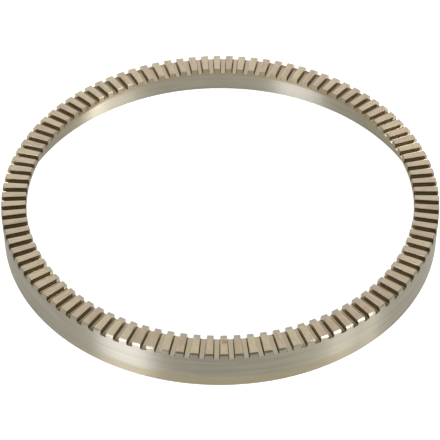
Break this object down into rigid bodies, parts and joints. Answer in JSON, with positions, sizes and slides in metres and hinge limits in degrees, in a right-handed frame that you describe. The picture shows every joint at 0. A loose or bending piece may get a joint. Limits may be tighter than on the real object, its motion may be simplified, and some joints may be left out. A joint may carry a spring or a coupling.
{
  "type": "anti-lock brake sensor ring",
  "caption": "Turned steel ring of L section: a thin press-on skirt and a flange with axial teeth cut all round for a wheel-speed sensor.",
  "frame": {"origin": "centre of the ring, at the free edge of the skirt that it rests on", "axes": "+Z along the ring's axis, towards the teeth; the middle of one tooth is on +X"},
  "size_m": [0.18, 0.18, 0.0174],
  "materials": {
    "bare_steel": "satin"
  },
  "bodies": {
    "root": {"sensor_ring": "bare_steel"}
  },
  "joints": []
}
